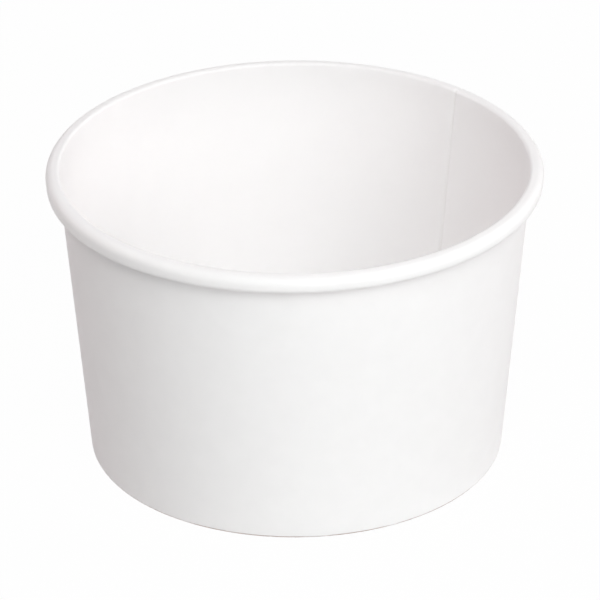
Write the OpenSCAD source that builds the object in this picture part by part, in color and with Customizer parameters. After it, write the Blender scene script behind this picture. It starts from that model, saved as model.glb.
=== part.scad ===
// Round paperboard food bowl: a wrapped side wall with a rolled rim, a lap seam and a hemmed base,
// and a bottom disc whose flange is gripped in the hem.
// Millimetres, +Z up, origin at the centre of the ring that the bowl stands on.

/* [Bowl] */
// Outside diameter over the rolled rim
rim_d = 115; // [108:0.5:130]
// Height from the table to the top of the rim
bowl_h = 71.4; // [45:0.1:110]
// Outside diameter of the wall where it meets the table
base_d = 97.1; // [84:0.1:104]

/* [Board] */
// Thickness of the side wall's board
wall_t = 0.45; // [0.3:0.01:0.6]
// Thickness of the bottom disc's board
disc_t = 0.45; // [0.3:0.01:0.6]
// Film of melted coating left between sealed faces
seal_gap = 0.05; // [0.03:0.01:0.1]

/* [Rolled rim] */
// Width of the roll, from the food side of the wall outwards
roll_w = 3.4; // [2.8:0.05:4.2]
// Height of the roll
roll_h = 4.4; // [3.8:0.05:5.5]
// Gap between the wall and the board's edge, tucked back inside the roll
tuck_gap = 0.12; // [0.05:0.01:0.25]
// Length of the tucked edge
tuck_l = 0.8; // [0.3:0.05:1.2]

/* [Hemmed base] */
// Height of the bowl's floor above the table
floor_h = 9; // [6:0.1:16]
// Outside radius of the bend from the bottom disc to its flange
disc_bend_r = 1.2; // [0.8:0.05:1.6]
// Room between the flange's edge and the fold
flange_room = 0.3; // [0.1:0.05:1]
// Room between the hem's edge and the start of the disc's bend
hem_room = 0.3; // [0.1:0.05:2]
// Depth to which the fold is pressed flat, which makes the ring that the bowl stands on
fold_press = 0.06; // [0.04:0.01:0.12]

/* [Lap seam] */
// Direction of the seam's inner cut edge, in degrees from +X towards +Y
seam_angle = 45; // [0:1:359]
// Degrees of the wall's turn over which the two ends of the board overlap
lap_angle = 8.5; // [5:0.5:15]
// Degrees over which the outer end steps back in to the wall
jog_angle = 1.8; // [1:0.1:3]

/* [Hidden] */
$fn = 96;
white_board = "#F4F3F1";
white_disc = "#F1F0ED";

// The roll is a top bend, a straight stretch down and a tighter bottom bend.
roll_top_r = roll_w / 2;
roll_bottom_r = (roll_w - wall_t - tuck_gap) / 2;
roll_c = [rim_d / 2 - roll_top_r, bowl_h - roll_top_r];

// Lean of the wall from upright: its outer face runs from the base to the inside of the roll's top bend.
base_to_roll = roll_c - [base_d / 2, 0];
wall_lean = atan2(base_to_roll.x, base_to_roll.y)
    - asin((roll_top_r - wall_t) / norm(base_to_roll));

// Section coordinates: x outwards across the board, y up along it, from the centre of the roll's top bend.
wall_in = -roll_top_r;
wall_out = wall_in + wall_t;
roll_bottom_x = roll_top_r - roll_bottom_r;
roll_straight = (roll_h - roll_top_r - roll_bottom_r - roll_bottom_x * sin(wall_lean)) / cos(wall_lean);

// The fold is a half turn just wide enough for the flange and its two seals.
slot_w = disc_t + 2 * seal_gap;
fold_r = wall_t + slot_w / 2;
fold_x = wall_out - fold_r;
fold_y = (fold_r - fold_press - roll_c.y + fold_x * sin(wall_lean)) / cos(wall_lean);

// Centre of the bend between the bottom disc and its flange, in radius and height and then along the wall.
bend_z = floor_h - disc_bend_r;
flange_inset = wall_t + seal_gap + disc_bend_r;
bend_x = base_d / 2 + (bend_z * sin(wall_lean) - flange_inset) / cos(wall_lean);
bend_y = (bend_x - roll_c.x) * sin(wall_lean) + (bend_z - roll_c.y) * cos(wall_lean);
flange_l = bend_y - fold_y - flange_room;
hem_h = bend_y - fold_y - hem_room;

// Width of the jog along the wall, and how far the wall's turn falls away from a straight line over it.
jog_w = (rim_d + base_d) / 4 * jog_angle * PI / 180;
jog_sag = jog_w * sin(jog_angle) / 2;
// How far a piece is sunk into the one that it grows out of.
sunk = wall_t / 8;
big = 2 * (rim_d + bowl_h);

// Half of a ring that is cut straight across, on the side that "up" says.
module half_ring(outer_r, inner_r, up) {
    intersection() {
        difference() {
            circle(outer_r);
            circle(inner_r);
        }
        translate([-big / 2, up ? 0 : -big])
            square(big);
    }
}

// A straight stretch of board between two depths and two heights.
module strip(x0, x1, y0, y1) {
    translate([x0, y0])
        square([x1 - x0, y1 - y0]);
}

// The rolled rim, between two depths below the board's food side.
module roll_section(d0, d1) {
    half_ring(roll_top_r - d0, roll_top_r - d1, true);
    strip(roll_top_r - d1, roll_top_r - d0, -roll_straight, 0);
    translate([roll_bottom_x, -roll_straight])
        half_ring(roll_bottom_r - d0, roll_bottom_r - d1, false);
}

// The free edge of the board, tucked up inside the roll.
module tuck_section() {
    x0 = wall_out + tuck_gap;
    strip(x0, x0 + wall_t, -roll_straight, tuck_l - roll_straight);
}

// The wall from the fold to the roll, between two depths below the board's food side.
module wall_section(d0, d1) {
    strip(wall_in + d0, wall_in + d1, fold_y, 0);
}

// The fold at the table, between two depths below the board's food side.
module fold_section(d0, d1) {
    translate([fold_x, fold_y])
        half_ring(fold_r - wall_t + d1, fold_r - wall_t + d0, false);
}

// The hem that grips the flange from inside.
module hem_section() {
    x0 = fold_x - fold_r;
    strip(x0, x0 + wall_t, fold_y, fold_y + hem_h);
}

// Stands a section up at the wall's lean, in radius and height.
module lean() {
    translate(roll_c)
        rotate(-wall_lean)
            children();
}

// Keeps what is above the table and outside the bowl's axis.
module on_table() {
    intersection() {
        children();
        square(big);
    }
}

// The whole board from its tucked edge to the top of its hem.
module board_section() {
    on_table() lean() {
        roll_section(0, wall_t);
        tuck_section();
        wall_section(0, wall_t);
        fold_section(0, wall_t);
        hem_section();
    }
}

// The outer end of the board at the lap. It is sunk half a thickness into the inner end, where the two are sealed.
module lap_section() {
    on_table() lean() {
        roll_section(wall_t / 2, 2 * wall_t);
        wall_section(wall_t / 2, 2 * wall_t);
        intersection() {
            fold_section(wall_t / 2, 2 * wall_t);
            strip(fold_x, big, -big, big);
        }
    }
}

// A straight bar that leans with the wall along the seam's cut edge, between two heights along the wall. Its outline
// has the depth below the food side along x, and the distance past the cut edge along y.
module seam_bar(y0, y1) {
    rotate(seam_angle)
        translate([roll_c.x, 0, roll_c.y])
            rotate([0, wall_lean, 0])
                translate([wall_in, 0, y0])
                    linear_extrude(y1 - y0)
                        children();
}

// The outer end of the board steps back in to the wall beside the lap.
module jog() {
    seam_bar(fold_y + sunk, -sunk)
        polygon([
            [wall_t / 2, -jog_w / 2],
            [wall_t * 1.5, -jog_w / 2],
            [wall_t * 2 - sunk, -sunk],
            [wall_t - sunk - jog_sag, jog_w],
            [wall_t / 2, jog_w]
        ]);
}

// The groove that this step leaves on the food side, along the cut edge of the board's inner end.
module jog_groove() {
    seam_bar(fold_y + hem_h, -2 * sunk)
        polygon([[-wall_t, 0], [wall_t - sunk, 0], [-wall_t, 2 * jog_w]]);
}

// Side wall: one board blank with its rolled rim, lap seam, fold and hem.
module side_wall() {
    color(white_board)
        difference() {
            union() {
                rotate_extrude() board_section();
                rotate(seam_angle - lap_angle)
                    rotate_extrude(angle = lap_angle) lap_section();
                jog();
            }
            jog_groove();
        }
}

// Section of the bottom disc: a flat floor, a bend and a flange that leans with the wall.
module disc_section() {
    on_table() translate([bend_x, bend_z]) {
        strip(-big, 0, disc_bend_r - disc_t, disc_bend_r);
        intersection() {
            rotate(-wall_lean) {
                half_ring(disc_bend_r, disc_bend_r - disc_t, true);
                strip(disc_bend_r - disc_t, disc_bend_r, -flange_l, 0);
            }
            strip(0, big, -big, big);
        }
    }
}

// Bottom disc: a round blank with its edge pressed down.
module bottom_disc() {
    color(white_disc)
        rotate_extrude() disc_section();
}

side_wall();
bottom_disc();
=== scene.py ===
"""Looks of a round paperboard food bowl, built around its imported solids."""
import math

import bmesh
import bpy
from mathutils import Matrix, Vector


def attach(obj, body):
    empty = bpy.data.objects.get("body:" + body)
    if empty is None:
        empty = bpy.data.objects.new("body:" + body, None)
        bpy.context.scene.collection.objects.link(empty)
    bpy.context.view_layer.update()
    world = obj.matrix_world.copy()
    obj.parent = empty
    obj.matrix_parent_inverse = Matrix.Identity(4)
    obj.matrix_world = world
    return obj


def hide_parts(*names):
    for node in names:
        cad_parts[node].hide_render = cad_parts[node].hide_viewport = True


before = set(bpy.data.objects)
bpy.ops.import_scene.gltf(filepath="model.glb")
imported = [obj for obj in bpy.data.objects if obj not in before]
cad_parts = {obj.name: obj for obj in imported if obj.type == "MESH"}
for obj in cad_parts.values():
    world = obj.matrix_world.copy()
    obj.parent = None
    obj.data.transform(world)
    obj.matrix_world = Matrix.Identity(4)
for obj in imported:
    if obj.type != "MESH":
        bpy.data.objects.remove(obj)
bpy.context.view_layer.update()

MM = 0.001

# Sizes in millimetres and degrees, as in the part's source
RIM_D = 115.0
BOWL_H = 71.4
BASE_D = 97.1
WALL_T = 0.45
DISC_T = 0.45
SEAL_GAP = 0.05
ROLL_W = 3.4
TUCK_GAP = 0.12
TUCK_L = 0.8
FLOOR_H = 9.0
DISC_BEND_R = 1.2
FLANGE_ROOM = 0.3
HEM_ROOM = 0.3
FOLD_PRESS = 0.06
SEAM_ANGLE = 45.0
LAP_ANGLE = 8.5

# What only the looks have. The roll is a little lower than the solid's, and its crown is flat between a tight inner
# corner and a wider outer one. It hangs lower towards -X, as a real roll varies: by ROLL_SAG * c * (c - SAG_OFFSET),
# where c is the cosine of the place round the rim, from +X.
ROLL_H = 3.95
CROWN_IN_R = 0.8
CROWN_OUT_R = 1.9
ROLL_SAG = 0.46
SAG_OFFSET = 0.9
# The seam's slant in degrees per millimetre of height and the height where it is true, the film in the lap, the share
# of its thickness by which the inner end is pressed thin at its cut edge on the wall and on the roll, the degrees over
# which it regains it, the lip that the press raises along the cut edge, and a tighter step than the solid's
SEAM_SLANT = 0.0304
SEAM_TRUE_H = 64.7
LAP_FILM = 0.02
WALL_PRESS = 0.15
ROLL_PRESS = 0.78
PRESS_ANGLE = 3.0
LIP_H = 0.015
LIP_ANGLE = 1.0
JOG_ANGLE = 1.2
# The millimetres outwards over which the wall's share of this press becomes the roll's
PRESS_REACH = 1.5
# The degrees beside the lap over which the fold and the tucked edge make room for it, and the millimetres along them
EASE_ANGLE = 3.0
FOLD_ROOM_REACH = 6.0
TUCK_ROOM_REACH = 0.8
# The knurl that grips the hem, the small pleats of the fold, which one column in ten has, and the floor's slight dish
KNURL_DEPTH = 0.08
PLEAT_DEPTH = 0.05
PLEAT_OVER = 0.9
PLEAT_SEED = 7
FLOOR_DISH = 0.3

# Columns of the wall's mesh round the turn, in the jog and in the lap, columns for each groove of the knurl, and
# columns of the disc's mesh
TURN_COLUMNS = 480
JOG_COLUMNS = 8
LAP_COLUMNS = 12
KNURL_COLUMNS = 4
DISC_COLUMNS = 240

# Rows of the roll's bottom bend, the crown's two corners, the fold and the disc's bend
ROLL_BOTTOM_ROWS = 16
CROWN_OUT_ROWS = 14
CROWN_IN_ROWS = 12
FOLD_ROWS = 12
DISC_BEND_ROWS = 12

# Where the rows of the wall lie, in millimetres above the fold, and those of the hem: closer where it is worked
WALL_ROWS = (0.6, 1.3, 2.2, 3.4, 5, 8, 13, 19, 26, 33, 40, 47, 53, 59, 64, 67)
HEM_ROWS = (0.7, 1.4, 1.7, 3.4, 5.1, 5.4)
KNURL_FROM, KNURL_TO = 1.6, 5.2
PLEAT_REACH = 3.0
# Where the rows of the disc lie, as shares of the floor's radius and of the flange's length
FLOOR_ROWS = (0, 0.12, 0.25, 0.4, 0.55, 0.7, 0.82, 0.92, 1)
FLANGE_ROWS = (0, 0.3, 0.7, 1)

# Slack for comparing places in a section in millimetres, the distance in metres within which points are joined, and
# the angle in degrees past which an edge is drawn sharp
SLACK = 0.01
JOIN_WITHIN = 1e-6
SHARP_ANGLE = 40.0

# The board's IOR, and in millimetres the specks of its outside: their spacing, the radii where they are
# full and gone, their strength, and the level of chance over which one shows
BOARD_IOR = 1.5
SPECK_SPACING = 13.0
SPECK_FULL_R, SPECK_GONE_R = 0.052, 0.182
SPECK_STRENGTH = 0.45
SPECK_OVER = 0.7
# The painted contact shadow of the base, a thin brown line of painted shade where the bowl meets the floor: the heights
# where it is full and gone, its strength, the noise levels between which it breaks, and what is left of it in a break
SHADE_LINE_FULL_H, SHADE_LINE_GONE_H = 0.2, 0.55
SHADE_LINE_STRENGTH = 0.85
BREAK_FROM, BREAK_TO = 0.34, 0.5
BREAK_LEFT = 0.3

# Camera, from a fit to the rim, the bead and the base in the photograph
CAMERA_AIM_H = 35.86
CAMERA_AWAY = 1144.3
CAMERA_ELEVATION = 27.966
CAMERA_PAN = 0.0567
CAMERA_ROLL = -0.388
CAMERA_LENS = 293.45
SENSOR_W = 36.0
CLIP_NEAR, CLIP_FAR = 0.05, 20.0

# Half the floor's width in metres, and the share of white in it that the camera sees: the rest shows the shadow
FLOOR_HALF = 2.5
FLOOR_WHITE = 0.98

# Soft boxes: their distance and width in metres, then name, azimuth, elevation, watts and colour
BOX_AWAY, BOX_W = 1.4, 0.9
SOFT_BOXES = (
    ("key_low", 30, 28, 8.6, "#FFFEFE"),
    ("key_high", 30, 45, 3.2, "#F8FFFE"),
    ("front", 0, 45, 6.9, "#F8FFFE"),
    ("right_side", 120, 28, 7.5, "#FFFBFB"),
    ("left_side", -90, 45, 3.7, "#FFF3F1"),
    ("left_low", -120, 28, 2.8, "#FFEDEE"),
    ("back", 210, 45, 2.3, "#EEF6FF"),
)
# The weak light table under the floor
TABLE_AWAY, TABLE_W = 0.8, 1.6
TABLE_POWER = 2.0
TABLE_COLOUR = "#FFFBFB"


def add_node(tree, kind, feeds=None, **settings):
    """Adds a node with its settings. A feed is a value, a socket, or a node whose first output is meant."""
    node = tree.nodes.new(kind)
    for name, value in settings.items():
        setattr(node, name, value)
    for key, feed in (feeds or {}).items():
        if isinstance(feed, bpy.types.Node):
            feed = feed.outputs[0]
        if isinstance(feed, bpy.types.NodeSocket):
            tree.links.new(feed, node.inputs[key])
        else:
            node.inputs[key].default_value = feed
    return node


def linear(hex_colour):
    """A linear colour from an sRGB hex value."""
    levels = [int(hex_colour[k:k + 2], 16) / 255 for k in (1, 3, 5)]
    return [v / 12.92 if v <= 0.04045 else ((v + 0.055) / 1.055) ** 2.4 for v in levels] + [1.0]


# Sections: rows of (point on the food side, direction from the food side into the board)

def bend(centre, radius, start, end, steps, side):
    """A bend of the board. side is -1 where its food side is the outside of the bend."""
    rows = []
    for k in range(steps + 1):
        angle = math.radians(start + (end - start) * k / steps)
        out = Vector((math.cos(angle), math.sin(angle)))
        rows.append((centre + out * radius, out * side))
    return rows


def stretch(start, heading, distances, into):
    """A straight stretch of the board, with rows at these distances from its start."""
    return [(start + heading * d, into) for d in distances]


def joined(parts):
    """One section from parts that share their end rows."""
    rows = list(parts[0])
    for part in parts[1:]:
        rows += part[1:]
    return rows


# Places in a section: x outwards across the board and y up along it, from the middle of the roll's top
UP, DOWN = Vector((0, 1)), Vector((0, -1))
OUT, IN = Vector((1, 0)), Vector((-1, 0))

roll_top_r = ROLL_W / 2
roll_bottom_r = (ROLL_W - WALL_T - TUCK_GAP) / 2
roll_c = Vector((RIM_D / 2 - roll_top_r, BOWL_H - roll_top_r))
base_to_roll = roll_c - Vector((BASE_D / 2, 0))
wall_lean = math.atan2(base_to_roll.x, base_to_roll.y) - math.asin((roll_top_r - WALL_T) / base_to_roll.length)
wall_in = -roll_top_r
wall_out = wall_in + WALL_T
roll_bottom_x = roll_top_r - roll_bottom_r
roll_straight = (
    ROLL_H - roll_top_r - roll_bottom_r - roll_bottom_x * math.sin(wall_lean)
) / math.cos(wall_lean)
slot_half = DISC_T / 2 + SEAL_GAP
fold_r = WALL_T + slot_half
fold_x = wall_out - fold_r
fold_y = (fold_r - FOLD_PRESS - roll_c.y + fold_x * math.sin(wall_lean)) / math.cos(wall_lean)
bend_z = FLOOR_H - DISC_BEND_R
bend_x = BASE_D / 2 + (
    bend_z * math.sin(wall_lean) - WALL_T - SEAL_GAP - DISC_BEND_R
) / math.cos(wall_lean)
bend_y = (bend_x - roll_c.x) * math.sin(wall_lean) + (bend_z - roll_c.y) * math.cos(wall_lean)
flange_l = bend_y - fold_y - FLANGE_ROOM
hem_h = bend_y - fold_y - HEM_ROOM
lap_step = WALL_T + LAP_FILM


def leaning(v):
    """A direction in the wall's section, stood up at the wall's lean."""
    return Vector((
        v.x * math.cos(wall_lean) + v.y * math.sin(wall_lean),
        v.y * math.cos(wall_lean) - v.x * math.sin(wall_lean),
    ))


def wall_section():
    """The board from its tucked edge over the roll, down the wall and round the fold to the hem's edge."""
    tuck_x = wall_out + TUCK_GAP
    outer_c = roll_top_r - CROWN_OUT_R
    inner_x, inner_y = wall_in + CROWN_IN_R, roll_top_r - CROWN_IN_R
    wall_rows = [-fold_y] + list(reversed(WALL_ROWS)) + [0]
    return joined([
        stretch(Vector((tuck_x, TUCK_L - roll_straight)), DOWN, (0, TUCK_L / 2, TUCK_L), OUT),
        bend(Vector((roll_bottom_x, -roll_straight)), roll_bottom_r, 180, 360, ROLL_BOTTOM_ROWS, -1),
        stretch(Vector((roll_top_r, -roll_straight)), UP, (0, roll_straight + outer_c), IN),
        bend(Vector((outer_c, outer_c)), CROWN_OUT_R, 0, 90, CROWN_OUT_ROWS, -1),
        stretch(Vector((outer_c, roll_top_r)), IN, (0, outer_c - inner_x), DOWN),
        bend(Vector((inner_x, inner_y)), CROWN_IN_R, 90, 180, CROWN_IN_ROWS, -1),
        stretch(Vector((wall_in, inner_y)), DOWN, [0] + [inner_y - fold_y - h for h in wall_rows], OUT),
        bend(Vector((fold_x, fold_y)), slot_half, 0, -180, FOLD_ROWS, 1),
        stretch(Vector((fold_x - slot_half, fold_y)), UP, [0] + list(HEM_ROWS) + [hem_h], IN),
    ])


def disc_section():
    """The bottom disc from its centre over the bend to the flange's edge, in radius and height."""
    floor = [
        (Vector((bend_x * s, FLOOR_H - FLOOR_DISH * (1 - s * s) ** 2)), DOWN)
        for s in FLOOR_ROWS
    ]
    centre = Vector((bend_x, bend_z))
    lean = math.degrees(wall_lean)
    flange_rows = [flange_l * share for share in FLANGE_ROWS]
    return joined([
        floor,
        bend(centre, DISC_BEND_R, 90, -lean, DISC_BEND_ROWS, -1),
        stretch(centre + leaning(OUT) * DISC_BEND_R, leaning(DOWN), flange_rows, leaning(IN)),
    ])


def section_mesh(name, rows, thickness):
    """Both faces of a board's section as a row of points: down its food side and back along its other side."""
    faces = rows + [(p + into * thickness, into) for p, into in reversed(rows)]
    mesh = bpy.data.meshes.new(name)
    mesh.from_pydata([(p.x * MM, 0, p.y * MM) for p, into in faces], [], [])
    return mesh


def set_attribute(mesh, name, kind, values):
    """Stores one value for each point of a section."""
    attribute = mesh.attributes.new(name, kind, "POINT")
    for row, value in zip(attribute.data, values):
        if kind == "FLOAT":
            row.value = value
        else:
            row.vector = value


def faded(distance, reach):
    """1 at a distance of 0 that falls smoothly to 0 at its reach."""
    s = max(0.0, 1 - distance / reach)
    return s * s * (3 - 2 * s)


def wall_section_mesh():
    """The wall's section with what each row does at the lap, the knurl, the pleats and the roll's sag."""
    rows = wall_section()
    turned = [(roll_c + leaning(p), leaning(into)) for p, into in rows]
    mesh = section_mesh("wall_section", turned, WALL_T)
    room, knurl, pleat, along, thin, sag = [], [], [], [], [], []
    passed = 0.0
    for k, (p, into) in enumerate(rows):
        passed += (p - rows[k - 1][0]).length if k else 0.0
        along.append(passed)
        on_hem = p.x < fold_x and p.y > fold_y
        height = p.y - fold_y
        in_tuck = wall_out < p.x < 0 and p.y < TUCK_L - roll_straight + SLACK
        low_in_roll = p.x > wall_out and p.y < SLACK - roll_straight
        below = faded(height, FOLD_ROOM_REACH) if not in_tuck and p.x < wall_out else 0.0
        room.append(leaning(OUT) * faded(p.x - wall_out - TUCK_GAP, TUCK_ROOM_REACH) if in_tuck
                    else leaning(UP) * (1.0 if on_hem or height < 0 else below))
        knurl.append(1.0 if on_hem and KNURL_FROM < height < KNURL_TO else 0.0)
        pleat.append(faded(abs(height), PLEAT_REACH) if p.x > fold_x and not in_tuck and p.x < 0 else 0.0)
        sag.append(leaning(DOWN) * (1.0 if low_in_roll or in_tuck else 0.0))
        thin.append(ROLL_PRESS + (WALL_PRESS - ROLL_PRESS) * faded(max(0.0, p.x - wall_in), PRESS_REACH))
    count = len(rows)

    def both(values):
        return values + values[::-1]

    def outer(values):
        return [0.0] * count + values[::-1]

    set_attribute(mesh, "into", "FLOAT_VECTOR", [(v.x, 0, v.y) for v in both([into for p, into in turned])])
    set_attribute(mesh, "room", "FLOAT_VECTOR", [(v.x, 0, v.y) for v in both(room)])
    set_attribute(mesh, "sag", "FLOAT_VECTOR", [(v.x, 0, v.y) for v in both(sag)])
    set_attribute(mesh, "knurl", "FLOAT", outer(knurl))
    set_attribute(mesh, "pleat", "FLOAT", outer(pleat))
    set_attribute(mesh, "along", "FLOAT", both(along))
    set_attribute(mesh, "thin", "FLOAT", both(thin))
    set_attribute(mesh, "outer", "FLOAT", outer([1.0] * count))
    return mesh


def node_tree(name, inputs):
    """A Geometry Nodes tree with a section to turn and these named inputs."""
    tree = bpy.data.node_groups.new(name, "GeometryNodeTree")
    tree.interface.new_socket("Section", in_out="INPUT", socket_type="NodeSocketGeometry")
    for label, kind in inputs:
        tree.interface.new_socket(label, in_out="INPUT", socket_type="NodeSocket" + kind)
    tree.interface.new_socket("Board", in_out="OUTPUT", socket_type="NodeSocketGeometry")
    return tree


def finish_board(tree, board, given, points, row, ends):
    """Closes the board's mesh, shades it and gives each side its finish.

    row is the face's row, and ends marks the faces of its cut ends.
    """
    half = add_node(tree, "FunctionNodeIntegerMath", {0: points, 1: 2}, operation="DIVIDE_FLOOR")
    back = add_node(tree, "FunctionNodeCompare", {2: row, 3: half}, data_type="INT", operation="GREATER_EQUAL")
    after = add_node(tree, "FunctionNodeIntegerMath", {0: row, 1: 1}, operation="ADD")
    turn_row = add_node(tree, "FunctionNodeIntegerMath", {0: after, 1: half}, operation="MODULO")
    cut = add_node(tree, "FunctionNodeCompare", {2: turn_row, 3: 0}, data_type="INT", operation="EQUAL")
    if ends is not None:
        cut = add_node(tree, "FunctionNodeBooleanMath", {0: cut, 1: ends}, operation="OR")
    for name, value in (("outside", back), ("cut_edge", cut)):
        board = add_node(tree, "GeometryNodeStoreNamedAttribute", {"Geometry": board, "Name": name, "Value": value},
                         data_type="BOOLEAN", domain="FACE")
    board = add_node(tree, "GeometryNodeMergeByDistance", {"Geometry": board, "Distance": JOIN_WITHIN})
    board = add_node(tree, "GeometryNodeSetShadeSmooth", {"Geometry": board, "Shade Smooth": True}, domain="FACE")
    angle = add_node(tree, "GeometryNodeInputMeshEdgeAngle")
    sharp = add_node(tree, "FunctionNodeCompare",
                     {0: angle.outputs["Unsigned Angle"], 1: math.radians(SHARP_ANGLE)},
                     data_type="FLOAT", operation="GREATER_THAN")
    board = add_node(tree, "GeometryNodeSetShadeSmooth",
                     {"Geometry": board, "Selection": sharp, "Shade Smooth": False}, domain="EDGE")
    board = add_node(tree, "GeometryNodeRealizeInstances", {"Geometry": board})
    board = add_node(tree, "GeometryNodeSetMaterial", {"Geometry": board, "Material": given["Food side"]})
    for name, label in (("outside", "Outside"), ("cut_edge", "Cut edge")):
        marked = add_node(tree, "GeometryNodeInputNamedAttribute", {"Name": name}, data_type="BOOLEAN")
        board = add_node(tree, "GeometryNodeSetMaterial",
                         {"Geometry": board, "Selection": marked, "Material": given[label]})
    add_node(tree, "NodeGroupOutput", {"Board": board})


def wall_tree():
    """Wraps the wall's section round the bowl from its inner cut edge, past a whole turn, to the end of the lap."""
    tree = node_tree("wrap_wall_board", [
        ("Turn columns", "Int"), ("Jog columns", "Int"), ("Lap columns", "Int"), ("Knurl columns", "Int"),
        ("Seam angle", "Float"), ("Seam slant", "Float"), ("Seam true height", "Float"),
        ("Jog angle", "Float"), ("Lap angle", "Float"), ("Lap step", "Float"),
        ("Press angle", "Float"), ("Lip", "Float"), ("Lip angle", "Float"), ("Roll sag", "Float"),
        ("Knurl depth", "Float"), ("Pleat depth", "Float"), ("Pleat seed", "Int"),
        ("Food side", "Material"), ("Outside", "Material"), ("Cut edge", "Material"),
    ])
    given = tree.nodes.new("NodeGroupInput").outputs
    section = given["Section"]
    points = add_node(tree, "GeometryNodeAttributeDomainSize", {"Geometry": section}).outputs["Point Count"]
    rows = add_node(tree, "FunctionNodeIntegerMath", {0: points, 1: 1}, operation="ADD")
    jog_end = add_node(tree, "FunctionNodeIntegerMath", {0: given["Turn columns"], 1: given["Jog columns"]},
                       operation="ADD")
    last = add_node(tree, "FunctionNodeIntegerMath", {0: jog_end, 1: given["Lap columns"]}, operation="ADD")
    columns = add_node(tree, "FunctionNodeIntegerMath", {0: last, 1: 3}, operation="ADD")
    grid = add_node(tree, "GeometryNodeMeshGrid", {"Vertices X": columns, "Vertices Y": rows})

    # Column and row of each point. An extra column at both ends closes the cut end along the middle of the board.
    index = add_node(tree, "GeometryNodeInputIndex")
    place = add_node(tree, "FunctionNodeIntegerMath", {0: index, 1: rows}, operation="DIVIDE_FLOOR")
    inner = add_node(tree, "FunctionNodeIntegerMath", {0: place, 1: 1}, operation="SUBTRACT")
    lifted = add_node(tree, "FunctionNodeIntegerMath", {0: inner, 1: 0}, operation="MAXIMUM")
    column = add_node(tree, "FunctionNodeIntegerMath", {0: lifted, 1: last}, operation="MINIMUM")
    at_end = add_node(tree, "FunctionNodeCompare", {2: inner, 3: column}, data_type="INT", operation="NOT_EQUAL")
    halfway = add_node(tree, "ShaderNodeMath", {0: at_end, 1: 0.5}, operation="MULTIPLY")
    wrapped = add_node(tree, "FunctionNodeIntegerMath", {0: index, 1: rows}, operation="MODULO")
    row = add_node(tree, "FunctionNodeIntegerMath", {0: wrapped, 1: points}, operation="MODULO")
    top = add_node(tree, "FunctionNodeIntegerMath", {0: points, 1: 1}, operation="SUBTRACT")
    mate = add_node(tree, "FunctionNodeIntegerMath", {0: top, 1: row}, operation="SUBTRACT")

    # Turn round the bowl in degrees, with columns closer in the jog and the lap
    turn_end = add_node(tree, "ShaderNodeMath", {0: 360.0, 1: given["Jog angle"]}, operation="SUBTRACT")
    lap_end = add_node(tree, "ShaderNodeMath", {0: 360.0, 1: given["Lap angle"]}, operation="ADD")
    turn = add_node(tree, "ShaderNodeMapRange", {0: column, 1: 0.0, 2: given["Turn columns"], 3: 0.0, 4: turn_end})
    jog = add_node(tree, "ShaderNodeMapRange",
                   {0: column, 1: given["Turn columns"], 2: jog_end, 3: 0.0, 4: given["Jog angle"]})
    lap = add_node(tree, "ShaderNodeMapRange", {0: column, 1: jog_end, 2: last, 3: 0.0, 4: given["Lap angle"]})
    turned = add_node(tree, "ShaderNodeMath", {0: turn, 1: jog}, operation="ADD")
    turned = add_node(tree, "ShaderNodeMath", {0: turned, 1: lap}, operation="ADD")

    # The outer end steps out at the jog, less where the inner end's cut edge is pressed thin. Near the lap, the fold
    # and the tucked edge make room for it.
    stepped = add_node(tree, "ShaderNodeMapRange", {0: column, 1: given["Turn columns"], 2: jog_end, 3: 0.0, 4: 1.0},
                       interpolation_type="SMOOTHSTEP")
    ease_in = add_node(tree, "ShaderNodeMath", {0: given["Lap angle"], 1: EASE_ANGLE}, operation="ADD")
    under = add_node(tree, "ShaderNodeMapRange", {0: turned, 1: given["Lap angle"], 2: ease_in, 3: 1.0, 4: 0.0},
                     interpolation_type="SMOOTHSTEP")
    ease_out = add_node(tree, "ShaderNodeMath", {0: turn_end, 1: EASE_ANGLE}, operation="SUBTRACT")
    over = add_node(tree, "ShaderNodeMapRange", {0: turned, 1: ease_out, 2: turn_end, 3: 0.0, 4: 1.0},
                    interpolation_type="SMOOTHSTEP")
    near_lap = add_node(tree, "ShaderNodeMath", {0: under, 1: over}, operation="MAXIMUM")

    # What the section gives for each row
    at_row = {}
    for name, kind in (("into", "FLOAT_VECTOR"), ("room", "FLOAT_VECTOR"), ("sag", "FLOAT_VECTOR"),
                       ("knurl", "FLOAT"), ("pleat", "FLOAT"), ("along", "FLOAT"), ("thin", "FLOAT"),
                       ("outer", "FLOAT")):
        stored = add_node(tree, "GeometryNodeInputNamedAttribute", {"Name": name}, data_type=kind)
        at_row[name] = add_node(tree, "GeometryNodeSampleIndex", {"Geometry": section, "Value": stored, "Index": row},
                                data_type=kind, domain="POINT")
    place_in_section = add_node(tree, "GeometryNodeInputPosition")
    here, there = (
        add_node(tree, "GeometryNodeSampleIndex", {"Geometry": section, "Value": place_in_section, "Index": which},
                 data_type="FLOAT_VECTOR", domain="POINT")
        for which in (row, mate)
    )
    point = add_node(tree, "ShaderNodeMix", {"Factor": halfway, 4: here, 5: there}, data_type="VECTOR").outputs[1]

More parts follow.
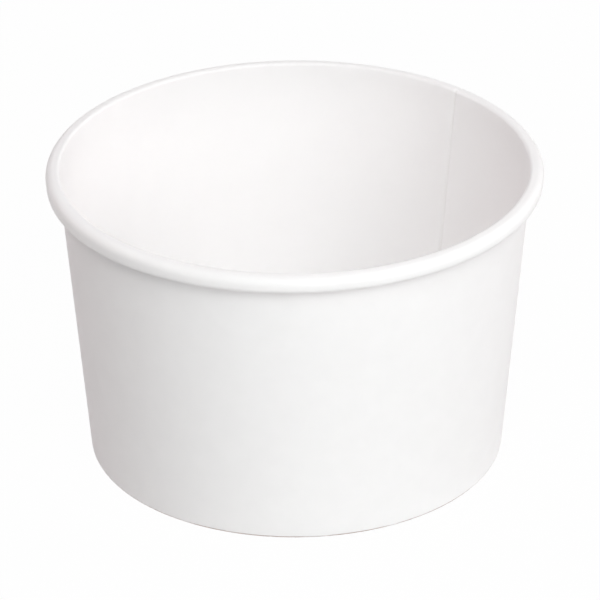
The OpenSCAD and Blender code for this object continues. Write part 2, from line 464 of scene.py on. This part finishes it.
    # Grooves of the knurl lie on half of each group of columns, and few columns have a pleat. The inner end is pressed
    # thin at its cut edge, and the outer end follows it.
    step_in_group = add_node(tree, "FunctionNodeIntegerMath", {0: column, 1: given["Knurl columns"]},
                             operation="MODULO")
    half_group = add_node(tree, "FunctionNodeIntegerMath", {0: given["Knurl columns"], 1: 2},
                          operation="DIVIDE_FLOOR")
    in_groove = add_node(tree, "FunctionNodeCompare", {2: step_in_group, 3: half_group}, data_type="INT",
                         operation="LESS_THAN")
    groove = add_node(tree, "ShaderNodeMath", {0: at_row["knurl"], 1: in_groove}, operation="MULTIPLY")
    groove = add_node(tree, "ShaderNodeMath", {0: groove, 1: given["Knurl depth"]}, operation="MULTIPLY")
    chance = add_node(tree, "FunctionNodeRandomValue", {"ID": column, "Seed": given["Pleat seed"]}, data_type="FLOAT")
    pleated = add_node(tree, "ShaderNodeMapRange", {0: chance.outputs[1], 1: PLEAT_OVER, 2: 1.0, 3: 0.0, 4: 1.0})
    pleat = add_node(tree, "ShaderNodeMath", {0: at_row["pleat"], 1: pleated}, operation="MULTIPLY")
    pressed = add_node(tree, "ShaderNodeMath", {0: pleat, 1: given["Pleat depth"], 2: groove}, operation="MULTIPLY_ADD")
    thin = add_node(tree, "ShaderNodeMath", {0: at_row["thin"], 1: given["Lap step"]}, operation="MULTIPLY")
    cut_end = add_node(tree, "ShaderNodeMapRange", {0: turned, 1: 0.0, 2: given["Press angle"], 3: 1.0, 4: 0.0},
                       interpolation_type="SMOOTHSTEP")
    cut_end = add_node(tree, "ShaderNodeMath", {0: cut_end, 1: at_row["outer"]}, operation="MULTIPLY")
    pressed = add_node(tree, "ShaderNodeMath", {0: cut_end, 1: thin, 2: pressed}, operation="MULTIPLY_ADD")
    not_end = add_node(tree, "ShaderNodeMath", {0: 1.0, 1: at_end}, operation="SUBTRACT")
    pressed = add_node(tree, "ShaderNodeMath", {0: pressed, 1: not_end}, operation="MULTIPLY")
    press_end = add_node(tree, "ShaderNodeMath", {0: 360.0, 1: given["Press angle"]}, operation="ADD")
    regained = add_node(tree, "ShaderNodeMapRange", {0: turned, 1: 360.0, 2: press_end, 3: 0.0, 4: 1.0},
                        interpolation_type="SMOOTHSTEP")
    regained = add_node(tree, "ShaderNodeMath", {0: regained, 1: thin}, operation="MULTIPLY")
    least = add_node(tree, "ShaderNodeMath", {0: given["Lap step"], 1: thin}, operation="SUBTRACT")
    shift = add_node(tree, "ShaderNodeMath", {0: stepped, 1: least, 2: regained}, operation="MULTIPLY_ADD")
    shift = add_node(tree, "ShaderNodeMath", {0: shift, 1: pressed}, operation="SUBTRACT")
    lip = add_node(tree, "ShaderNodeMapRange", {0: turned, 1: 0.0, 2: given["Lip angle"], 3: given["Lip"], 4: 0.0})
    shift = add_node(tree, "ShaderNodeMath", {0: shift, 1: lip}, operation="SUBTRACT")
    move = add_node(tree, "ShaderNodeVectorMath", {0: at_row["into"], "Scale": shift}, operation="SCALE")
    point = add_node(tree, "ShaderNodeVectorMath", {0: point, 1: move}, operation="ADD")
    spare = add_node(tree, "ShaderNodeMath", {0: near_lap, 1: given["Lap step"]}, operation="MULTIPLY")
    aside = add_node(tree, "ShaderNodeVectorMath", {0: at_row["room"], "Scale": spare}, operation="SCALE")
    point = add_node(tree, "ShaderNodeVectorMath", {0: point, 1: aside}, operation="ADD")

    # The roll is lowest at -X, next to it at +X, and least between
    place_round = add_node(tree, "ShaderNodeMath", {0: given["Seam angle"], 1: turned}, operation="SUBTRACT")
    place_round = add_node(tree, "ShaderNodeMath", {0: place_round}, operation="RADIANS")
    to_right = add_node(tree, "ShaderNodeMath", {0: place_round}, operation="COSINE")
    uneven = add_node(tree, "ShaderNodeMath", {0: to_right, 1: SAG_OFFSET}, operation="SUBTRACT")
    uneven = add_node(tree, "ShaderNodeMath", {0: uneven, 1: to_right}, operation="MULTIPLY")
    uneven = add_node(tree, "ShaderNodeMath", {0: uneven, 1: given["Roll sag"]}, operation="MULTIPLY")
    lower = add_node(tree, "ShaderNodeVectorMath", {0: at_row["sag"], "Scale": uneven}, operation="SCALE")
    point = add_node(tree, "ShaderNodeVectorMath", {0: point, 1: lower}, operation="ADD")

    # Round the bowl, with the fold pressed flat on the table
    parts = add_node(tree, "ShaderNodeSeparateXYZ", {0: point}).outputs
    height = add_node(tree, "ShaderNodeMath", {0: parts["Z"], 1: 0.0}, operation="MAXIMUM")
    off_true = add_node(tree, "ShaderNodeMath", {0: given["Seam true height"], 1: height}, operation="SUBTRACT")
    slant = add_node(tree, "ShaderNodeMath", {0: off_true, 1: given["Seam slant"], 2: given["Seam angle"]},
                     operation="MULTIPLY_ADD")
    angle = add_node(tree, "ShaderNodeMath", {0: slant, 1: turned}, operation="SUBTRACT")
    angle = add_node(tree, "ShaderNodeMath", {0: angle}, operation="RADIANS")
    across = add_node(tree, "ShaderNodeMath", {0: angle}, operation="COSINE")
    across = add_node(tree, "ShaderNodeMath", {0: across, 1: parts["X"]}, operation="MULTIPLY")
    deep = add_node(tree, "ShaderNodeMath", {0: angle}, operation="SINE")
    deep = add_node(tree, "ShaderNodeMath", {0: deep, 1: parts["X"]}, operation="MULTIPLY")
    around = add_node(tree, "ShaderNodeCombineXYZ", {0: across, 1: deep, 2: height})
    board = add_node(tree, "GeometryNodeSetPosition", {"Geometry": grid.outputs["Mesh"], "Position": around})

    # The blank laid flat, in millimetres, for patterns that follow the board
    mean_arc = math.radians((RIM_D + BASE_D) / 4)
    flat_x = add_node(tree, "ShaderNodeMath", {0: turned, 1: mean_arc}, operation="MULTIPLY")
    flat = add_node(tree, "ShaderNodeCombineXYZ", {0: flat_x, 1: at_row["along"]})
    board = add_node(tree, "GeometryNodeStoreNamedAttribute", {"Geometry": board, "Name": "blank", "Value": flat},
                     data_type="FLOAT2", domain="CORNER")

    face_column = add_node(tree, "FunctionNodeIntegerMath", {0: index, 1: points}, operation="DIVIDE_FLOOR")
    face_row = add_node(tree, "FunctionNodeIntegerMath", {0: index, 1: points}, operation="MODULO")
    first_end = add_node(tree, "FunctionNodeCompare", {2: face_column, 3: 0}, data_type="INT", operation="EQUAL")
    last_end = add_node(tree, "FunctionNodeCompare", {2: face_column, 3: last}, data_type="INT",
                        operation="GREATER_THAN")
    ends = add_node(tree, "FunctionNodeBooleanMath", {0: first_end, 1: last_end}, operation="OR")
    finish_board(tree, board, given, points, face_row, ends)
    return tree


def disc_tree():
    """Turns the bottom disc's section about the bowl's axis."""
    tree = node_tree("turn_disc_board", [
        ("Columns", "Int"), ("Food side", "Material"), ("Outside", "Material"), ("Cut edge", "Material"),
    ])
    given = tree.nodes.new("NodeGroupInput").outputs
    points = add_node(tree, "GeometryNodeAttributeDomainSize", {"Geometry": given["Section"]}).outputs["Point Count"]
    columns = add_node(tree, "FunctionNodeIntegerMath", {0: given["Columns"], 1: 1}, operation="ADD")
    grid = add_node(tree, "GeometryNodeMeshGrid", {"Vertices X": columns, "Vertices Y": points})
    index = add_node(tree, "GeometryNodeInputIndex")
    column = add_node(tree, "FunctionNodeIntegerMath", {0: index, 1: points}, operation="DIVIDE_FLOOR")
    row = add_node(tree, "FunctionNodeIntegerMath", {0: index, 1: points}, operation="MODULO")
    place_in_section = add_node(tree, "GeometryNodeInputPosition")
    point = add_node(tree, "GeometryNodeSampleIndex",
                     {"Geometry": given["Section"], "Value": place_in_section, "Index": row},
                     data_type="FLOAT_VECTOR", domain="POINT")
    angle = add_node(tree, "ShaderNodeMapRange", {0: column, 1: 0.0, 2: given["Columns"], 3: 0.0, 4: -2 * math.pi})
    turned = add_node(tree, "ShaderNodeVectorRotate", {"Vector": point, "Angle": angle}, rotation_type="Z_AXIS")
    board = add_node(tree, "GeometryNodeSetPosition", {"Geometry": grid.outputs["Mesh"], "Position": turned})
    faces = add_node(tree, "FunctionNodeIntegerMath", {0: points, 1: 1}, operation="SUBTRACT")
    face_row = add_node(tree, "FunctionNodeIntegerMath", {0: index, 1: faces}, operation="MODULO")
    finish_board(tree, board, given, points, face_row, None)
    return tree


def built(name, section, tree, values):
    """A plain mesh object from a section and a tree, with the tree's inputs set by their sockets' identifiers."""
    piece = bpy.data.objects.new(name, section)
    bpy.context.scene.collection.objects.link(piece)
    turning = piece.modifiers.new("turning", "NODES")
    turning.node_group = tree
    identifiers = {item.name: item.identifier for item in tree.interface.items_tree if item.in_out == "INPUT"}
    for label, value in values.items():
        turning[identifiers[label]] = value
    shapes = bpy.context.evaluated_depsgraph_get()
    mesh = bpy.data.meshes.new_from_object(piece.evaluated_get(shapes), preserve_all_data_layers=True, depsgraph=shapes)
    piece.modifiers.clear()
    piece.data = mesh
    mesh.name = name
    shell = bmesh.new()
    shell.from_mesh(mesh)
    bmesh.ops.recalc_face_normals(shell, faces=shell.faces)
    shell.to_mesh(mesh)
    shell.free()
    return piece


# Materials

def new_material(name):
    """A material with its tree and its shader."""
    material = bpy.data.materials.new(name)
    material.use_nodes = True
    return material, material.node_tree, material.node_tree.nodes["Principled BSDF"]


def outside_board():
    """Uncoated side of bleached board, calendered: matt white, a little cloudy, with fine fibres and few specks."""
    material, tree, shader = new_material("bleached_board_outside")
    place = add_node(tree, "ShaderNodeTexCoord").outputs["Object"]
    blank = add_node(tree, "ShaderNodeUVMap", uv_map="blank")
    # Clouds of the sheet's formation, about 5 mm across
    clouds = add_node(tree, "ShaderNodeTexNoise", {"Vector": place, "Scale": 1 / (5 * MM), "Detail": 3.0})
    colour = add_node(tree, "ShaderNodeMix", {"Factor": clouds.outputs[0], 6: linear("#F6F4F4"), 7: linear("#FAF8F8")},
                      data_type="RGBA").outputs[2]
    # Specks about 13 mm apart on the blank, of which few show, up to 0.3 mm across
    specks = add_node(tree, "ShaderNodeTexVoronoi", {"Vector": blank, "Scale": 1 / SPECK_SPACING},
                      voronoi_dimensions="2D")
    near = add_node(tree, "ShaderNodeMapRange", {
        0: specks.outputs["Distance"], 1: SPECK_FULL_R / SPECK_SPACING, 2: SPECK_GONE_R / SPECK_SPACING,
        3: SPECK_STRENGTH, 4: 0.0,
    })
    shown = add_node(tree, "ShaderNodeSeparateColor", {0: specks.outputs["Color"]}).outputs[0]
    shown = add_node(tree, "ShaderNodeMath", {0: shown, 1: SPECK_OVER}, operation="GREATER_THAN")
    near = add_node(tree, "ShaderNodeMath", {0: near, 1: shown}, operation="MULTIPLY")
    colour = add_node(tree, "ShaderNodeMix", {"Factor": near, 6: colour, 7: linear("#8D857B")},
                      data_type="RGBA").outputs[2]
    # Painted contact shadow: the fold that the bowl stands on is darkened brown in a line about 0.4 mm high, with
    # breaks about 9 mm apart, as painted shade where it meets the floor
    height = add_node(tree, "ShaderNodeSeparateXYZ", {0: place}).outputs["Z"]
    low = add_node(tree, "ShaderNodeMapRange",
                   {0: height, 1: SHADE_LINE_FULL_H * MM, 2: SHADE_LINE_GONE_H * MM, 3: SHADE_LINE_STRENGTH, 4: 0.0})
    breaks = add_node(tree, "ShaderNodeTexNoise", {"Vector": place, "Scale": 1 / (9 * MM), "Detail": 4.0})
    breaks = add_node(tree, "ShaderNodeMapRange",
                      {0: breaks.outputs[0], 1: BREAK_FROM, 2: BREAK_TO, 3: BREAK_LEFT, 4: 1.0})
    # The strength of the painted contact shadow at each place
    painted_contact_shadow = add_node(tree, "ShaderNodeMath", {0: low, 1: breaks}, operation="MULTIPLY")
    colour = add_node(tree, "ShaderNodeMix", {"Factor": painted_contact_shadow, 6: colour, 7: linear("#9A6B58")},
                      data_type="RGBA").outputs[2]
    tree.links.new(colour, shader.inputs["Base Color"])
    # Fibres 0.35 mm wide: real ones are 0.03 mm, too fine to show
    fibres = add_node(tree, "ShaderNodeTexNoise", {"Vector": place, "Scale": 1 / (0.35 * MM), "Detail": 2.0})
    ridges = add_node(tree, "ShaderNodeBump", {"Height": fibres.outputs[0], "Strength": 0.2, "Distance": 0.05 * MM})
    tree.links.new(ridges.outputs[0], shader.inputs["Normal"])
    shader.inputs["Roughness"].default_value = 0.82
    shader.inputs["IOR"].default_value = BOARD_IOR
    return material


def food_side():
    """Bleached board under a thin polyethylene film: white, satin, with the film's slight orange peel."""
    material, tree, shader = new_material("coated_board_food_side")
    place = add_node(tree, "ShaderNodeTexCoord").outputs["Object"]
    # Clouds of the sheet under the film, about 6 mm across
    clouds = add_node(tree, "ShaderNodeTexNoise", {"Vector": place, "Scale": 1 / (6 * MM), "Detail": 3.0})
    colour = add_node(tree, "ShaderNodeMix", {"Factor": clouds.outputs[0], 6: linear("#F8F6F6"), 7: linear("#FAF8F8")},
                      data_type="RGBA").outputs[2]
    tree.links.new(colour, shader.inputs["Base Color"])
    # Orange peel 0.8 mm across
    peel = add_node(tree, "ShaderNodeTexNoise", {"Vector": place, "Scale": 1 / (0.8 * MM), "Detail": 1.0})
    dents = add_node(tree, "ShaderNodeBump", {"Height": peel.outputs[0], "Strength": 0.1, "Distance": 0.05 * MM})
    tree.links.new(dents.outputs[0], shader.inputs["Normal"])
    shader.inputs["Roughness"].default_value = 0.5
    shader.inputs["IOR"].default_value = BOARD_IOR
    return material


def cut_edge():
    """Raw cut edge of the board: pulp under the white face, creamier and rough."""
    material, tree, shader = new_material("board_cut_edge")
    place = add_node(tree, "ShaderNodeTexCoord").outputs["Object"]
    # Flecks of pulp 0.3 mm across: real fibres are 0.03 mm wide, too fine to show
    pulp = add_node(tree, "ShaderNodeTexNoise", {"Vector": place, "Scale": 1 / (0.3 * MM), "Detail": 2.0})
    colour = add_node(tree, "ShaderNodeMix", {"Factor": pulp.outputs[0], 6: linear("#E4DFD5"), 7: linear("#F1EEE8")},
                      data_type="RGBA").outputs[2]
    tree.links.new(colour, shader.inputs["Base Color"])
    shader.inputs["Roughness"].default_value = 0.9
    shader.inputs["IOR"].default_value = BOARD_IOR
    return material


finishes = {"Food side": food_side(), "Outside": outside_board(), "Cut edge": cut_edge()}

wall = built("side_wall_board", wall_section_mesh(), wall_tree(), {
    "Turn columns": TURN_COLUMNS, "Jog columns": JOG_COLUMNS, "Lap columns": LAP_COLUMNS,
    "Knurl columns": KNURL_COLUMNS, "Seam angle": SEAM_ANGLE, "Seam slant": SEAM_SLANT / MM,
    "Seam true height": SEAM_TRUE_H * MM, "Jog angle": JOG_ANGLE, "Lap angle": LAP_ANGLE, "Lap step": lap_step * MM,
    "Press angle": PRESS_ANGLE, "Lip": LIP_H * MM, "Lip angle": LIP_ANGLE, "Roll sag": ROLL_SAG * MM,
    "Knurl depth": KNURL_DEPTH * MM, "Pleat depth": PLEAT_DEPTH * MM, "Pleat seed": PLEAT_SEED, **finishes,
})
disc = built("bottom_disc_board", section_mesh("disc_section", disc_section(), DISC_T), disc_tree(),
             {"Columns": DISC_COLUMNS, **finishes})

for piece, node, slot in ((wall, "side_wall", "wall_board"), (disc, "bottom_disc", "disc_board")):
    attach(piece, "root")
    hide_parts(node)


# Floor, light and camera

def seen_rays(tree):
    """1 for rays from the camera and for those that a surface mirrors or lets through."""
    path = add_node(tree, "ShaderNodeLightPath").outputs
    seen = add_node(tree, "ShaderNodeMath", {0: path["Is Camera Ray"], 1: path["Is Glossy Ray"]}, operation="MAXIMUM")
    return add_node(tree, "ShaderNodeMath", {0: seen, 1: path["Is Transmission Ray"]}, operation="MAXIMUM")


def white_floor():
    """A pale floor, white to the camera, that shows the bowl's shadow faintly.

    It hides nothing from below, and lets lamps shine through, as a light table does.
    """
    mesh = bpy.data.meshes.new("floor")
    half = FLOOR_HALF
    mesh.from_pydata([(-half, -half, 0), (half, -half, 0), (half, half, 0), (-half, half, 0)], [], [(0, 1, 2, 3)])
    floor = bpy.data.objects.new("floor", mesh)
    bpy.context.scene.collection.objects.link(floor)
    material = bpy.data.materials.new("white_paper_floor")
    material.use_nodes = True
    tree = material.node_tree
    tree.nodes.clear()
    matt = add_node(tree, "ShaderNodeBsdfDiffuse", {"Color": linear("#DCDCDC")})
    glow = add_node(tree, "ShaderNodeEmission", {"Color": (1, 1, 1, 1), "Strength": 1.0})
    share = add_node(tree, "ShaderNodeMath", {0: seen_rays(tree), 1: FLOOR_WHITE}, operation="MULTIPLY")
    front = add_node(tree, "ShaderNodeMixShader", {0: share, 1: matt, 2: glow})
    clear = add_node(tree, "ShaderNodeBsdfTransparent")
    below = add_node(tree, "ShaderNodeNewGeometry").outputs["Backfacing"]
    lamp_ray = add_node(tree, "ShaderNodeLightPath").outputs["Is Shadow Ray"]
    through = add_node(tree, "ShaderNodeMath", {0: below, 1: lamp_ray}, operation="MAXIMUM")
    surface = add_node(tree, "ShaderNodeMixShader", {0: through, 1: front, 2: clear})
    add_node(tree, "ShaderNodeOutputMaterial", {"Surface": surface})
    mesh.materials.append(material)


def white_world():
    """White where the camera sees it, or a surface that mirrors or lets through. It gives no light of its own."""
    world = bpy.data.worlds.new("studio")
    bpy.context.scene.world = world
    world.use_nodes = True
    tree = world.node_tree
    tree.nodes.clear()
    white = add_node(tree, "ShaderNodeBackground", {"Color": (1, 1, 1, 1), "Strength": seen_rays(tree)})
    add_node(tree, "ShaderNodeOutputWorld", {"Surface": white})


def soft_light(name, azimuth, elevation, away, size, power, colour):
    """A square soft box that faces the bowl. Azimuth 0 is the camera's side, and 90 its right."""
    lamp = bpy.data.lights.new(name, "AREA")
    lamp.shape = "SQUARE"
    lamp.size = size
    lamp.energy = power
    lamp.color = linear(colour)[:3]
    box = bpy.data.objects.new(name, lamp)
    a, e = math.radians(azimuth), math.radians(elevation)
    back = Vector((math.sin(a) * math.cos(e), -math.cos(a) * math.cos(e), math.sin(e)))
    box.location = Vector((0, 0, CAMERA_AIM_H * MM)) + back * away
    box.rotation_mode = "QUATERNION"
    box.rotation_quaternion = (-back).to_track_quat("-Z", "Y")
    bpy.context.scene.collection.objects.link(box)


def photo_camera():
    """The camera where the photograph was taken."""
    lens = bpy.data.cameras.new("camera")
    lens.lens = CAMERA_LENS
    lens.sensor_width = SENSOR_W
    lens.sensor_fit = "HORIZONTAL"
    lens.clip_start, lens.clip_end = CLIP_NEAR, CLIP_FAR
    camera = bpy.data.objects.new("camera", lens)
    bpy.context.scene.collection.objects.link(camera)
    elevation, pan, roll = (math.radians(v) for v in (CAMERA_ELEVATION, CAMERA_PAN, CAMERA_ROLL))
    place = Vector((0, -math.cos(elevation), math.sin(elevation))) * CAMERA_AWAY
    place.z += CAMERA_AIM_H
    ahead = Vector((
        math.sin(pan) * math.cos(elevation), math.cos(pan) * math.cos(elevation), -math.sin(elevation)
    ))
    right = ahead.cross(Vector((0, 0, 1))).normalized()
    up = right.cross(ahead)
    across = right * math.cos(roll) + up * math.sin(roll)
    upright = up * math.cos(roll) - right * math.sin(roll)
    camera.matrix_world = Matrix.Translation(place * MM) @ Matrix((across, upright, -ahead)).transposed().to_4x4()
    bpy.context.scene.camera = camera


bpy.context.scene.view_settings.view_transform = "Standard"
white_floor()
white_world()
for name, azimuth, elevation, power, colour in SOFT_BOXES:
    soft_light(name, azimuth, elevation, BOX_AWAY, BOX_W, power, colour)
soft_light("light_table", 0, -90, TABLE_AWAY, TABLE_W, TABLE_POWER, TABLE_COLOUR)
photo_camera()
